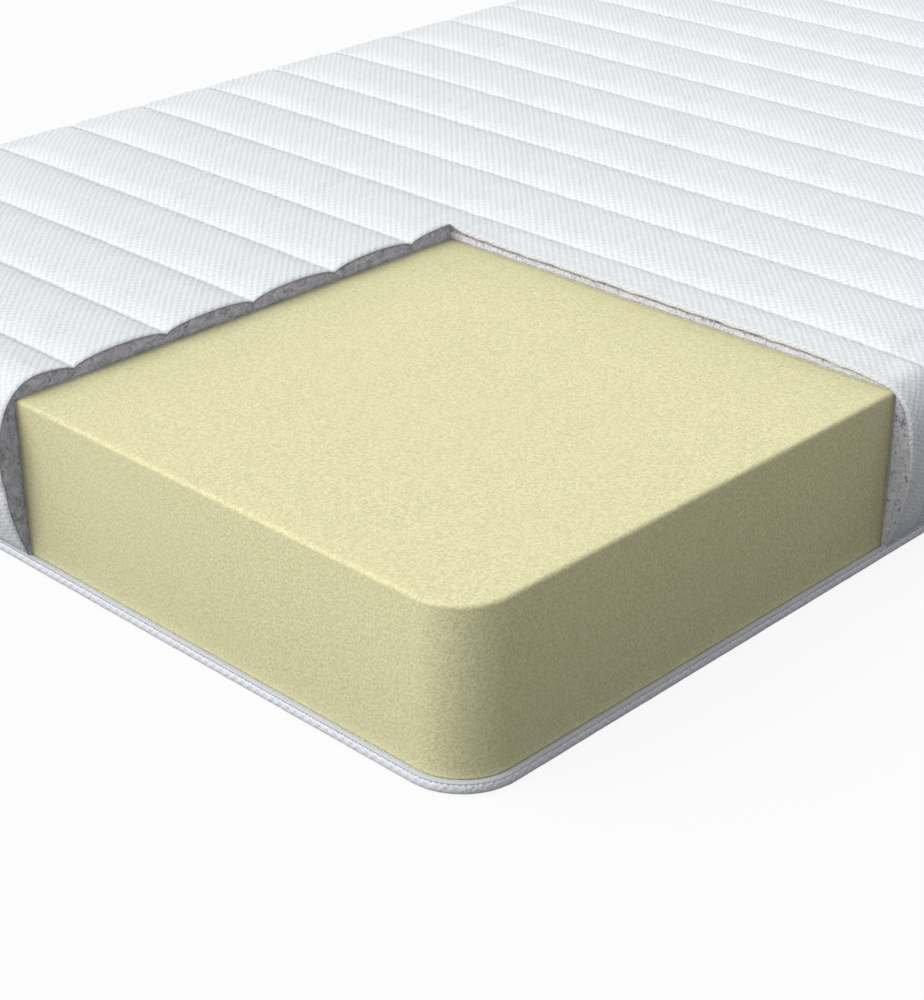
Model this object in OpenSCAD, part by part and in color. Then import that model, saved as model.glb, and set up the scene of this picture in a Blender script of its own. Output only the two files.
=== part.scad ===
// Single memory foam mattress in a quilted cover with a zip.
// One corner of the cover is cut away, as on a showroom sample, so the foam core lies bare.
// Origin: middle of the underside. +X across the bed, +Y towards the head end, +Z up.
// "Out" below is the distance outwards from the foam core's upright side faces.

/* [Mattress] */
// Width over the bulge of the two long sides
mattress_w = 900; // [800:10:1000]
// Length over the bulge of the two short ends
mattress_l = 2000; // [2000:10:2100]
// Thickness of the foam core
foam_h = 120; // [110:1:150]
// Radius of the foam core's upright corners
foam_corner_r = 40; // [30:1:45]

/* [Quilted cover] */
// How far the cover bulges out from the foam on the long sides
side_bulge = 12; // [8:1:15]
// How far the cover bulges out from the foam on the short ends
end_bulge = 17; // [12:1:18]
// Cover thickness over the foam at the crest of a channel
crest_rise = 13.2; // [10:0.1:16]
// How far the crests fall towards the long sides
crest_fall = 4.6; // [2:0.1:5]
// Cover thickness over the foam at a quilting line
line_rise = 6.8; // [4:0.1:8]
// Spacing of the quilting lines along the mattress
line_pitch = 82.1; // [70:0.1:100]
// Distance from the foam's foot end to the first quilting line
first_line = 50; // [40:1:60]
// Thickness of the knitted fabric
knit_t = 0.8; // [0.5:0.1:1]
// Thickness of the non-woven backing against the foam
backing_t = 0.4; // [0.3:0.1:0.6]
// Diameter of the sewing thread
thread_d = 0.6; // [0.4:0.1:0.8]

/* [Bottom panel] */
// Thickness of the padded bottom panel
bottom_t = 8; // [7.5:0.1:9]
// How far the bottom panel's rim stands out from the foam
rim_out = 5; // [4.5:0.1:6]
// Thickness of the tape sewn round the rim
tape_t = 0.6; // [0.5:0.1:0.8]

/* [Cut-away corner] */
// Size of the cut-away across the bed, measured from the foam's side face
cut_w = 425; // [300:5:500]
// Size of the cut-away along the bed, measured from the foam's foot end
cut_l = 423; // [300:1:500]

/* [Zip] */
// Length of the opening left for the zip in the far long side
zip_l = 1860; // [1500:10:1860]
// Width of one half of the closed chain
coil_w = 1.9; // [1.7:0.1:2]
// Thickness of the chain
coil_t = 1.8; // [1.6:0.1:1.8]
// Length of the slider
slider_l = 11; // [10:0.5:14]
// Width of the slider
slider_w = 8; // [7.8:0.1:8]
// Length of the pull tab from its hinge to its tip
tab_l = 22; // [15:1:30]

/* [Hidden] */
$fn = 48;

foam_x = mattress_w / 2 - side_bulge;
foam_y = mattress_l / 2 - end_bulge;
foam_top = bottom_t + foam_h;
crest_z = foam_top + crest_rise;
eps = 0.01;
sliver = 1;
far = 5 * mattress_l;

// The cover's side walls, from the hem up
hem_z = bottom_t + tape_t;
hem_out = 3;
shoulder_in = 22;          // how far inside the foam's face the top starts to curve down
fall_in = 95;              // how far inside the foam's face the crests start to fall
crease_at = 0.49;          // heights of the crease and of the widest places, as shares of the foam
end_mid_at = 0.625;
side_mid_at = 0.65;
crease_step = 2;
end_drop = 0.8;
end_power = 2.3;           // shape of the shoulder: 2 is an ellipse, more is squarer
side_power = 2.8;
crease_z = bottom_t + crease_at * foam_h;
crease_out = end_bulge - crease_step;
end_mid_z = bottom_t + end_mid_at * foam_h;
side_mid_z = bottom_t + side_mid_at * foam_h;
end_crest_z = crest_z - end_drop;
side_crest_z = crest_z - crest_fall;
corner_round = 14;         // how much larger the cover's corner radius is than the foam's
top_corner_round = 35;

// The zip, in the far long side
gap_low = 4.6;             // the rim is lowered to here under the zip
gap_spare = 0.6;           // room left above and below the slider together
gap_out = 0.6;             // the rim is set back to here behind the zip
gap_high = gap_low + slider_w + gap_spare;
chain_z = (gap_low + gap_high) / 2;
chain_out = 3.15;
coil_gap = 1;
coil_low = chain_z - coil_gap / 2 - coil_w;
coil_high = chain_z + coil_gap / 2 + coil_w;
zip_tape_t = 0.5;
chain_end = 13;            // from each end of the opening to the end of the chain
coil_l = zip_l - 2 * chain_end;
stop_l = 3;
slider_stop = 3;           // from the end of the chain to the slider when shut
slider_y = coil_l / 2 - slider_l / 2 - slider_stop;
plate_t = 1;
plate_spare = 0.6;
plate_gap = coil_t + plate_spare;
flange_w = 1;
flange_t = 0.65;
web_t = 0.4;
web_l = 4;
tail_w = 6.2;              // the slider's width at its narrow end
plate_r = 1.1;
flange_short = 4.4;
flange_l = slider_l - flange_short;
pin_r = 0.6;
pin_rise = 0.95;
pin_fit = 0.05;
crown_w = 2.4;
crown_l = 3.4;
plate_face = chain_out + plate_gap / 2 + plate_t;
pin_out = plate_face + pin_rise;
crown_h = 2.2;
tab_w = 6;
tab_t = 1.2;
window_w = 2.2;
window_l = 8;
arm_w = 1.1;
arm_l = 5;
arm_gap = 0.3;

knit_colour = [0.93, 0.95, 0.96];
wadding_colour = [0.52, 0.52, 0.55];
backing_colour = [0.88, 0.88, 0.86];
foam_colour = [0.89, 0.87, 0.66];
thread_colour = [0.97, 0.97, 0.97];
tape_colour = [0.82, 0.84, 0.86];
zip_colour = [0.90, 0.91, 0.92];
metal_colour = [0.72, 0.73, 0.75];

// ---- Outlines ----

// Distance along Y of quilting line k
function line_y(k) = -foam_y + first_line + k * line_pitch;

last_line = floor((2 * foam_y - first_line) / line_pitch);

// Height of the quilted top at y: one half ellipse for each channel
function quilt_z(y, inset) =
    let (along = (y - line_y(0)) / line_pitch, across = 2 * (along - floor(along)) - 1)
    foam_top + line_rise - inset + (crest_rise - line_rise) * sqrt(max(0, 1 - across * across));

// One quarter of a superellipse, from its top down to its side
function shoulder(bulge, mid_z, top_z, power, inset) = [
    for (a = [90:-15:0])
        [
            -shoulder_in + (shoulder_in + bulge - inset) * pow(cos(a), 2 / power),
            mid_z + (top_z - inset - mid_z) * pow(sin(a), 2 / power)
        ]
];

// The wall below the shoulder of a short end: a small roll, its crease, then a slope to the hem
function end_skirt(inset) = concat(
    [
        for (a = [30:30:90])
            [
                crease_out + (end_bulge - crease_out) * cos(a) - inset,
                end_mid_z - (end_mid_z - crease_z) * sin(a)
            ]
    ],
    slope(crease_out, crease_z, inset)
);

// A wall that swells in a quarter sine from the hem up to the point out, high
function slope(out, high, inset) = [
    for (s = [0.8:-0.2:-0.1])
        [hem_out + (out - hem_out) * sin(90 * s) - inset, hem_z + (high - hem_z) * s]
];

// Half of the lengthwise section, its top curving down at the end
function end_wall(inset) = concat(
    shoulder(end_bulge, end_mid_z, end_crest_z, end_power, inset),
    end_skirt(inset)
);

// Half of the crosswise section
function side_wall(inset) = concat(
    [
        for (t = [0:0.25:0.75])
            [-fall_in + (fall_in - shoulder_in) * t, crest_z - crest_fall * t * t - inset]
    ],
    shoulder(side_bulge, side_mid_z, side_crest_z, side_power, inset),
    slope(side_bulge, side_mid_z, inset)
);

function reversed(points) = [for (i = [len(points) - 1:-1:0]) points[i]];

// The tops of the channels between the two shoulders
function quilt_points(inset) = [
    for (k = [-1:last_line], a = [0:30:150])
        let (y = line_y(k) + line_pitch * (1 - cos(a)) / 2)
        if (abs(y) < foam_y - shoulder_in - sliver) [y, quilt_z(y, inset)]
];

// ---- Shared shapes ----

// A block with upright round corners that stands out from the foam's faces
module slab(low, high, out, corner_r) {
    straight_x = foam_x + out - corner_r;
    straight_y = foam_y + out - corner_r;
    translate([0, 0, low])
        linear_extrude(high - low) {
            square([2 * straight_x, 2 * (straight_y + corner_r)], center = true);
            square([2 * (straight_x + corner_r), 2 * straight_y], center = true);
            for (sx = [-1, 1], sy = [-1, 1])
                translate([sx * straight_x, sy * straight_y])
                    circle(corner_r);
        }
}

// A slab whose ends and sides may stand out by different amounts
module plan(low, high, side_out, end_out, corner_r) {
    translate([0, 0, low])
        for (sx = [-1, 1], sy = [-1, 1])
            translate([sx * (foam_x + side_out - corner_r), sy * (foam_y + end_out - corner_r), 0])
                cylinder(r = corner_r, h = high - low, $fn = 32);
}

// The cover's outer form, or the same form inset by the thickness of a layer
module cover_form(inset) {
    top = quilt_points(inset);
    end = end_wall(inset);
    side = side_wall(inset);
    intersection() {
        rotate([90, 0, 90])
            linear_extrude(2 * mattress_w, center = true)
                polygon(concat(
                    [for (p = reversed(end)) [-foam_y - p[0], min(p[1], quilt_z(-foam_y - p[0], inset))]],
                    top,
                    [for (p = end) [foam_y + p[0], min(p[1], quilt_z(foam_y + p[0], inset))]]
                ));
        rotate([90, 0, 0])
            linear_extrude(2 * mattress_l, center = true)
                polygon(concat(
                    [for (p = reversed(side)) [-foam_x - p[0], p[1]]],
                    [for (p = side) [foam_x + p[0], p[1]]]
                ));
        hull() {
            plan(hem_z, hem_z + sliver, hem_out - inset, hem_out - inset, foam_corner_r + hem_out - inset);
            plan(
                crease_z, side_mid_z, side_bulge - inset, end_bulge - inset,
                foam_corner_r + corner_round - inset
            );
            plan(
                crest_z, crest_z + sliver, side_bulge - inset, end_bulge - inset,
                foam_corner_r + top_corner_round - inset
            );
        }
    }
}

// Everything that the cut-away corner removes from the cover
module cut_away() {
    translate([foam_x - cut_w, -foam_y + cut_l - far, hem_z - sliver])
        cube([far, far, far]);
}

// The opening under the cover's hem for the zip
module hem_gap() {
    translate([-foam_x - far, -zip_l / 2, 0])
        cube([far, zip_l, gap_high]);
}

// The step in the bottom panel's rim for the zip
module rim_gap(inset) {
    translate([-foam_x - gap_out + inset - far, -zip_l / 2 - inset, gap_low - inset])
        cube([far, zip_l + 2 * inset, far]);
}

// The bottom panel's inside, between two heights
module bottom_inside(low, high) {
    difference() {
        slab(low, high, rim_out - knit_t, foam_corner_r + rim_out - knit_t);
        rim_gap(knit_t);
    }
}

// A ring on the rim's ledge, left out where the zip runs
module rim_ring(inner, outer, low, high) {
    difference() {
        slab(low, high, outer, foam_corner_r + outer);
        slab(low - sliver, high + sliver, inner, foam_corner_r + inner);
        hem_gap();
    }
}

// Places its children on the far long side, where +X is out, +Y is +Y and +Z is +Z
module on_far_side() {
    translate([-foam_x, 0, 0])
        mirror([1, 0, 0])
            children();
}

// ---- Foam ----

module foam_core() {
    color(foam_colour)
        slab(bottom_t, foam_top, 0, foam_corner_r);
}

// ---- Quilted cover ----

module cover_knit() {
    color(knit_colour)
        difference() {
            cover_form(0);
            cover_form(knit_t);
            cut_away();
            hem_gap();
        }
}

module cover_wadding() {
    color(wadding_colour)
        difference() {
            cover_form(knit_t);
            slab(0, foam_top + backing_t, backing_t, foam_corner_r + backing_t);
            cut_away();
            hem_gap();
        }
}

module cover_backing() {
    color(backing_colour)
        difference() {
            slab(hem_z, foam_top + backing_t, backing_t, foam_corner_r + backing_t);
            slab(0, foam_top, 0, foam_corner_r);
            cut_away();
            hem_gap();
        }
}

// A straight stretch of thread lies in the bottom of each quilting line
module quilting_thread() {
    thread_x = foam_x - shoulder_in;
    color(thread_colour)
        difference() {
            for (k = [0:last_line])
                translate([-thread_x, line_y(k) - thread_d / 2, foam_top + line_rise])
                    cube([2 * thread_x, thread_d, thread_d]);
            cut_away();
            cover_form(0);
        }
}

// ---- Bottom panel and seam ----

module bottom_knit() {
    color(knit_colour)
        difference() {
            slab(0, bottom_t, rim_out, foam_corner_r + rim_out);
            rim_gap(0);
            bottom_inside(knit_t, bottom_t + sliver);
        }
}

module bottom_wadding() {
    color(wadding_colour)
        bottom_inside(knit_t, bottom_t - backing_t);
}

module bottom_backing() {
    color(backing_colour)
        bottom_inside(bottom_t - backing_t, bottom_t);
}

module seam_tape() {
    color(tape_colour)
        rim_ring(0, rim_out - knit_t, bottom_t, hem_z);
}

module seam_thread() {
    color(thread_colour)
        rim_ring(rim_out - knit_t, rim_out - knit_t + thread_d, bottom_t, bottom_t + thread_d);
}

// ---- Zip ----

// A strip of the zip between two heights
module zip_strip(length, low, high, thick) {
    on_far_side()
        translate([chain_out - thick / 2, -length / 2, low])
            cube([thick, length, high - low]);
}

module zip_upper_tape() {
    color(zip_colour)
        zip_strip(zip_l, coil_high, gap_high, zip_tape_t);
}

module zip_lower_tape() {
    color(zip_colour)
        zip_strip(zip_l, gap_low, coil_low, zip_tape_t);
}

module zip_upper_coil() {
    color(zip_colour)
        zip_strip(coil_l, coil_high - coil_w, coil_high, coil_t);
}

module zip_lower_coil() {
    color(zip_colour)
        zip_strip(coil_l, coil_low, coil_low + coil_w, coil_t);
}

// A clip on each half of the chain, just past the closed end
module zip_top_stop() {
    color(metal_colour)
        on_far_side()
            for (low = [coil_low, coil_high - coil_w])
                translate([chain_out - coil_t / 2, coil_l / 2, low])
                    cube([coil_t, stop_l, coil_w]);
}

// The box that holds both halves together at the other end
module zip_end_box() {
    color(metal_colour)
        on_far_side()
            translate([chain_out - coil_t / 2, -coil_l / 2 - stop_l, coil_low])
                cube([coil_t, stop_l, coil_high - coil_low]);
}

// A slider plate, broad at the end where the two halves enter and narrow at its tail
module slider_plate() {
    rotate([90, 0, 90])
        linear_extrude(plate_t)
            hull() {
                for (side = [-1, 1]) {
                    translate([slider_l / 2 - plate_r, side * (slider_w / 2 - plate_r)])
                        circle(plate_r);
                    translate([slider_l / 2 - flange_l / 2, side * (slider_w / 2 - plate_r)])
                        circle(plate_r);
                    translate([-slider_l / 2 + plate_r, side * (tail_w / 2 - plate_r)])
                        circle(plate_r);
                }
            }
}

// Two plates joined by the web that parts the chain, with a slot on each edge for the tape
// and a bored crown that carries the pull tab
module zip_slider() {
    inner = chain_out - plate_gap / 2;
    outer = chain_out + plate_gap / 2;
    color(metal_colour)
        on_far_side()
            translate([0, slider_y, chain_z])
                difference() {
                    union() {
                        for (out = [inner - plate_t, outer])
                            translate([out, 0, 0])
                                slider_plate();
                        for (out = [inner - eps, outer - flange_t + eps], side = [-1, 1])
                            translate([
                                out, slider_l / 2 - plate_r - flange_l / 2,
                                side * (slider_w / 2 - flange_w / 2) - flange_w / 2
                            ])
                                cube([flange_t, flange_l / 2, flange_w]);
                        translate([inner - eps, slider_l / 2 - web_l, -web_t / 2])
                            cube([plate_gap + 2 * eps, web_l, web_t]);
                        translate([plate_face - eps, -crown_l / 2, -crown_w / 2])
                            cube([crown_h, crown_l, crown_w]);
                    }
                    translate([pin_out, 0, -slider_w])
                        cylinder(r = pin_r + pin_fit, h = 2 * slider_w);
                }
}

// The flat of the tab: a round tip and a long window with round ends
module tab_outline() {
    middle = -(tab_l + arm_l) / 2;
    difference() {
        union() {
            translate([-tab_l + tab_w / 2, -tab_w / 2])
                square([tab_l - tab_w / 2 - arm_l + eps, tab_w]);
            translate([-tab_l + tab_w / 2, 0])
                circle(tab_w / 2);
        }
        translate([middle - window_l / 2, -window_w / 2])
            square([window_l, window_w]);
        for (end = [-1, 1])
            translate([middle + end * window_l / 2, 0])
                circle(window_w / 2);
    }
}

// Flat tab with two arms and the pin between them that turns in the slider's crown
module zip_pull_tab() {
    arm_z = crown_w / 2 + arm_gap;
    color(metal_colour)
        on_far_side()
            translate([pin_out, slider_y, chain_z]) {
                translate([0, 0, -arm_z - arm_w / 2])
                    cylinder(r = pin_r, h = 2 * arm_z + arm_w);
                for (low = [-arm_z - arm_w, arm_z])
                    translate([-tab_t / 2, -arm_l, low])
                        cube([tab_t, arm_l, arm_w]);
                for (low = [-arm_z - arm_w, arm_z])
                    translate([0, 0, low])
                        cylinder(r = tab_t / 2, h = arm_w);
                rotate([90, 0, 90])
                    linear_extrude(tab_t, center = true)
                        tab_outline();
            }
}

foam_core();
cover_knit();
cover_wadding();
cover_backing();
quilting_thread();
bottom_knit();
bottom_wadding();
bottom_backing();
seam_tape();
seam_thread();
zip_upper_tape();
zip_lower_tape();
zip_upper_coil();
zip_lower_coil();
zip_top_stop();
zip_end_box();
zip_slider();
zip_pull_tab();
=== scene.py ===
"""Memory foam mattress with one corner of its quilted cover cut away.

+X runs across the bed, +Y along it and +Z up, in metres. "Out" is the distance outwards from the
foam core's upright side faces, and a "station" is one place on the way round those faces.
"""

import math

import bmesh
import bpy
import numpy as np
from mathutils import Matrix, Vector


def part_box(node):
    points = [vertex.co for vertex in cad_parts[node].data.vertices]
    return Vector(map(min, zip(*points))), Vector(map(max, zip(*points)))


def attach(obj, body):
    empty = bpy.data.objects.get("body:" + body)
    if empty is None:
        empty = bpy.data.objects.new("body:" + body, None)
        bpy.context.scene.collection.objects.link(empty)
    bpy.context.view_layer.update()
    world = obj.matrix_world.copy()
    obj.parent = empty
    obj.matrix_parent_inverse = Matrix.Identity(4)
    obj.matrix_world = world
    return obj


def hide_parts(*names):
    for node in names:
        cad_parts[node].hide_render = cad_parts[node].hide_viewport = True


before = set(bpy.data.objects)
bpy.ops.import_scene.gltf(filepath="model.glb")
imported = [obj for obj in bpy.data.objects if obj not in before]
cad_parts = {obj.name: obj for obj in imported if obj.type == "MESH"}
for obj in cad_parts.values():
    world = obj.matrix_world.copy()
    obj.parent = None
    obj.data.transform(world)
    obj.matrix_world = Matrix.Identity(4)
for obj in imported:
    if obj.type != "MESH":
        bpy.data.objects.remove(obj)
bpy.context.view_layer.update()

MM = 0.001

# ---- Sizes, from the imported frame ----

foam_low, foam_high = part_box("foam_core")
cover_low, cover_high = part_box("cover_knit")
thread_low, thread_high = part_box("quilting_thread")
panel_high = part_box("bottom_knit")[1]
upper_low, upper_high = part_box("zip_upper_tape")
lower_low, lower_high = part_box("zip_lower_tape")
coil_low, coil_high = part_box("zip_lower_coil")
top_coil_low, top_coil_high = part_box("zip_upper_coil")

FOAM_X, FOAM_Y = foam_high[0], foam_high[1]
FOAM_Z0, FOAM_Z1 = foam_low[2], foam_high[2]
FOAM_R = 0.040
SIDE_BULGE = cover_high[0] - FOAM_X
END_BULGE = cover_high[1] - FOAM_Y
CREST_Z = cover_high[2]
HEM_Z = cover_low[2]
LINE_Z = thread_low[2]
KNIT_T = 0.8 * MM
BACKING_T = 0.4 * MM
THREAD_D = thread_high[2] - thread_low[2]
LINES = 24
LINE_0 = thread_low[1] + THREAD_D / 2
PITCH = (thread_high[1] - thread_low[1] - THREAD_D) / (LINES - 1)
CUT_X = FOAM_X - 0.425
CUT_Y = -FOAM_Y + 0.423
RIM_OUT = panel_high[0] - FOAM_X
GAP_HIGH = upper_high[2]
GAP_END = upper_high[1]
GAP_ROWS = [-GAP_END, GAP_END, -GAP_END - 1.2 * MM, GAP_END + 1.2 * MM]
HEM_OUT = 3 * MM
SHOULDER_IN = 22 * MM
CREASE_Z = FOAM_Z0 + 0.49 * (FOAM_Z1 - FOAM_Z0)
CREASE_OUT = END_BULGE - 2 * MM
END_MID_Z = FOAM_Z0 + 0.625 * (FOAM_Z1 - FOAM_Z0)
SIDE_MID_Z = FOAM_Z0 + 0.65 * (FOAM_Z1 - FOAM_Z0)
SHOULDER_ROWS = 13
SKIRT_ROWS = 14
LIP_DEEP = 4 * MM
CUT_SAG = 0.15
SPARE_CLOTH, CLOTH_PRESSURE = 0.008, 0.2
CLOTH_FRAMES, CLOTH_CAP = 12, 1.0 * MM
LIP_OUT = 1.0 * MM
FLARE_SIDE, FLARE_END, FLARE_REACH = 7 * MM, 1.2 * MM, 120 * MM
DROOP_FROM = 95 * MM
DROOP_LINE, DROOP_CREST = 0.18, 0.17
LINE_IN = 3 * MM
SIDE_POWER, LINE_POWER, END_POWER = 2.8, 4.0, 2.3
ROLL_ROWS = 5
FOAM_EDGE = 3 * MM
SEAM_STITCH = 3.2 * MM
LINE_STITCH = 5 * MM
COIL_PITCH = 1.25 * MM
COIL_WIRE = 0.3 * MM


# ---- Looks: dots and loops per metre of knit, colours, light and camera ----

DOTS, LOOPS = 139, 820
# GREY and PALE are shaded and lit copies of one wadding: GREY painted darker for the cut face in shade (and
# also used for the bottom panel's wadding), PALE painted lighter for the cut face turned to the light. Each
# gives base, dark, and the colour of its dark flecks and painted shade.
GREY = (0.65, 0.65, 0.81), (0.43, 0.43, 0.55), (0.10, 0.10, 0.13)
PALE = (0.885, 0.875, 0.94), (0.70, 0.69, 0.77), (0.19, 0.175, 0.25)
SKY = (0.46, 0.463, 0.475)
FLOOR_GLOW, FLOOR_MATT, FLOOR_DIM = (0.90, 0.90, 0.90), (0.075, 0.075, 0.075), (0.16, 0.16, 0.165)
FLOOR_HALF, FLOOR_Z = 30.0, -0.3 * MM
KEY, KEY_TURN, KEY_RISE, KEY_SOFT = 0.79, 30, 44, 60
CAMERA_AT = (6.178, -6.3257, 6.2403)
CAMERA_YAW, CAMERA_DIP, CAMERA_ROLL, CAMERA_LENS = -44.345, 27.514, -0.322, 79.12


# ---- Mesh helpers ----

class Shape:
    """Collects patches of quads, with a texture coordinate for each corner, and welds them."""

    def __init__(self):
        self.points, self.faces, self.uvs, self.slots, self.count = [], [], [], [], 0

    def grid(self, points, uv=None, slot=0, keep=None, flip=False):
        """points is (rows, columns, 3); keep says which of its cells are filled."""
        rows, columns = points.shape[:2]
        index = self.count + np.arange(rows * columns).reshape(rows, columns)
        cells = np.stack([index[:-1, :-1], index[1:, :-1], index[1:, 1:], index[:-1, 1:]], -1)
        if uv is None:
            uv = points[..., :2]
        corners = np.stack([uv[:-1, :-1], uv[1:, :-1], uv[1:, 1:], uv[:-1, 1:]], 2)
        cells, corners = cells.reshape(-1, 4), corners.reshape(-1, 4, 2)
        if keep is not None:
            cells, corners = cells[keep.ravel()], corners[keep.ravel()]
        if flip:
            cells, corners = cells[:, ::-1], corners[:, ::-1]
        self.add(points.reshape(-1, 3), cells, corners, slot)

    def add(self, points, cells, corners, slot):
        self.points.append(points)
        self.faces.append(cells)
        self.uvs.append(corners)
        self.slots.append(np.full(len(cells), slot))
        self.count += len(points)

    def build(self, name, materials, weld=0.02 * MM):
        points, faces = np.concatenate(self.points), np.concatenate(self.faces)
        mesh = bpy.data.meshes.new(name)
        mesh.vertices.add(len(points))
        mesh.vertices.foreach_set("co", points.astype(np.float32).ravel())
        mesh.loops.add(faces.size)
        mesh.loops.foreach_set("vertex_index", faces.astype(np.int32).ravel())
        mesh.polygons.add(len(faces))
        mesh.polygons.foreach_set("loop_start", np.arange(0, faces.size, 4, dtype=np.int32))
        mesh.polygons.foreach_set("material_index", np.concatenate(self.slots).astype(np.int32))
        mesh.polygons.foreach_set("use_smooth", np.full(len(faces), True))
        layer = mesh.uv_layers.new(name="cloth")
        layer.data.foreach_set("uv", np.concatenate(self.uvs).astype(np.float32).ravel())
        mesh.update(calc_edges=True)
        work = bmesh.new()
        work.from_mesh(mesh)
        if weld:
            bmesh.ops.remove_doubles(work, verts=work.verts, dist=weld)
            bmesh.ops.dissolve_degenerate(work, dist=weld / 4, edges=work.edges)
        loose = [v for v in work.verts if not v.link_faces]
        bmesh.ops.delete(work, geom=loose, context="VERTS")
        work.to_mesh(mesh)
        work.free()
        mesh.validate()
        for material in materials:
            mesh.materials.append(material)
        piece = bpy.data.objects.new(name, mesh)
        bpy.context.scene.collection.objects.link(piece)
        return piece


def between(low, high, step):
    """Evenly spaced values from low to high, about step apart."""
    return np.linspace(low, high, max(2, int(round((high - low) / step)) + 1))


def arc_length(points):
    """The distance walked along each line of points. The lines run along the last axis but one."""
    steps = np.linalg.norm(np.diff(points, axis=-2), axis=-1)
    return np.concatenate([np.zeros((*steps.shape[:-1], 1)), np.cumsum(steps, -1)], -1)


def merged(*parts, apart=0.6 * MM):
    """One rising list of values. Where two are closer than apart, the one given first stays."""
    kept = []
    for part in parts:
        for value in np.atleast_1d(part):
            if all(abs(value - other) > apart for other in kept):
                kept.append(float(value))
    return np.array(sorted(kept))


def round_corners(cols, rows, half_x, half_y, radius):
    """A grid over a rectangle, with its four corners bent to arcs."""
    x, y = np.meshgrid(cols, rows, indexing="ij")
    a = np.clip((np.abs(x) - half_x + radius) / radius, 0, 1)
    b = np.clip((np.abs(y) - half_y + radius) / radius, 0, 1)
    bent = (a > 0) & (b > 0)
    bent_x = np.sign(x) * (half_x - radius + radius * a * np.sqrt(1 - b * b / 2))
    bent_y = np.sign(y) * (half_y - radius + radius * b * np.sqrt(1 - a * a / 2))
    return np.where(bent, bent_x, x), np.where(bent, bent_y, y)


def side_stations(values, half, other, radius, inset):
    """Stations along one side: their coordinate along it, and how far they turn at the corners.

    values are the grid's own values along the side, half is the side's half length and radius the
    corner's, both at the grid's edge, which lies inset inside the foam's face. other is the foam's
    half width across the side. Returns the foot of each station on the foam's face, its outward
    direction (along the side, across it), its turn from 0 to 45 degrees, and its cloth coordinate.
    """
    over = np.clip((np.abs(values) - half + radius) / radius, 0, 1) * np.sign(values)
    along_n, across_n = over * math.sqrt(0.5), np.sqrt(1 - over * over / 2)
    straight = np.clip(values, -half + radius, half - radius)
    centre = other - radius - inset
    foot_along = straight + (radius + inset) * along_n
    foot_across = centre + (radius + inset) * across_n
    turn = np.arcsin(np.abs(along_n))
    cloth = straight + np.sign(values) * 0.05 * turn
    return foot_along, foot_across, along_n, across_n, turn, cloth


SIDES = {"front": (0, -1), "right": (1, 1), "rear": (0, 1), "left": (1, -1)}


def wall_points(side, stations, out, high):
    """Points on one side of the mattress, from each station's outs and heights (stations, rows)."""
    axis, sign = SIDES[side]
    foot_along, foot_across, along_n, across_n = stations[:4]
    along = foot_along[:, None] + along_n[:, None] * out
    across = sign * (foot_across[:, None] + across_n[:, None] * out)
    return np.stack([along, across, high] if axis == 0 else [across, along, high], -1)


def wall_cloth(points, stations, side, reach):
    """A wall's cloth coordinates. The cloth carries on from reach, its distance from the middle."""
    axis, sign = SIDES[side]
    across = sign * (reach + arc_length(points))
    along = np.broadcast_to(stations[5][:, None], across.shape)
    return np.stack([along, across] if axis == 0 else [across, along], -1)


def turned(side):
    """True where a wall's grid needs its faces turned over to look outwards."""
    return side in ("front", "right")


def smooth_step(t):
    """Rises from 0 to 1 with level ends while t does."""
    t = np.clip(t, 0, 1)
    return t * t * (3 - 2 * t)


def ripples(at, row, wavelength, seed):
    """Smooth random waves along at, different for each row, from -1 to 1 or so."""
    draw = np.random.default_rng(seed)
    total = np.zeros(np.broadcast(at, row).shape)
    for share in (0.6, 1.0, 1.7):
        phase = draw.uniform(0, 2 * np.pi, 64)[np.asarray(row, int) % 64]
        total += np.sin(2 * np.pi * at / (wavelength * share) + phase + 2.3 * np.sin(at / 0.11 + phase))
    return total / 3


# ---- The quilted form ----

def y_of(k):
    """Where quilting line k lies."""
    return LINE_0 + k * PITCH


def across_channel(y):
    """Where y lies in its channel, from -1 at one quilting line to 1 at the next."""
    along = (y - LINE_0) / PITCH
    return 2 * (along - np.floor(along)) - 1


def plump(y):
    """How full the channel is at y: 0 on a quilting line and 1 along the crest."""
    return np.sqrt(np.clip(1 - across_channel(y) ** 2, 0, 1))


def line_distance(y):
    """Distance to the nearest quilting line, and which line it is."""
    along = (y - LINE_0) / PITCH
    return np.abs(along - np.round(along)) * PITCH, np.round(along)


def quilt_top(x, y, inset, detail):
    """Height of the quilted top."""
    full = plump(y)
    channel = np.floor((y - LINE_0) / PITCH)
    rise = CREST_Z - LINE_Z
    if detail:
        rise = rise * (1 + 0.035 * ripples(x, channel, 0.33, 11)) - 0.25 * MM
    # the cover thins towards the long sides, most on the crests
    fall = np.clip((np.abs(x) - FOAM_X + DROOP_FROM) / (DROOP_FROM - SHOULDER_IN), 0, 1) ** 2
    thick = (LINE_Z - FOAM_Z1 + rise * full) * (1 - fall * (DROOP_LINE + DROOP_CREST * full))
    # and lies a little lower beside the cut that runs across the bed
    beside = smooth_step((x - CUT_X) / (60 * MM)) * smooth_step(1 - (y - CUT_Y) / (45 * MM))
    thick = thick * (1 - CUT_SAG * beside)
    high = FOAM_Z1 - inset + thick
    if detail:
        near, line = line_distance(y)
        fade = np.exp(-near / (6 * MM)) * smooth_step(near / (1.6 * MM))
        high = high + 0.32 * MM * fade * ripples(x, line * 2 + np.sign(across_channel(y)), 0.013, 5)
    return high


def cover_stations(values, axis):
    """The stations of the cover's grid lines along one side."""
    half, other = (FOAM_X, FOAM_Y) if axis == 0 else (FOAM_Y, FOAM_X)
    return side_stations(values, half - SHOULDER_IN, other, FOAM_R - SHOULDER_IN, SHOULDER_IN)


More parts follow.
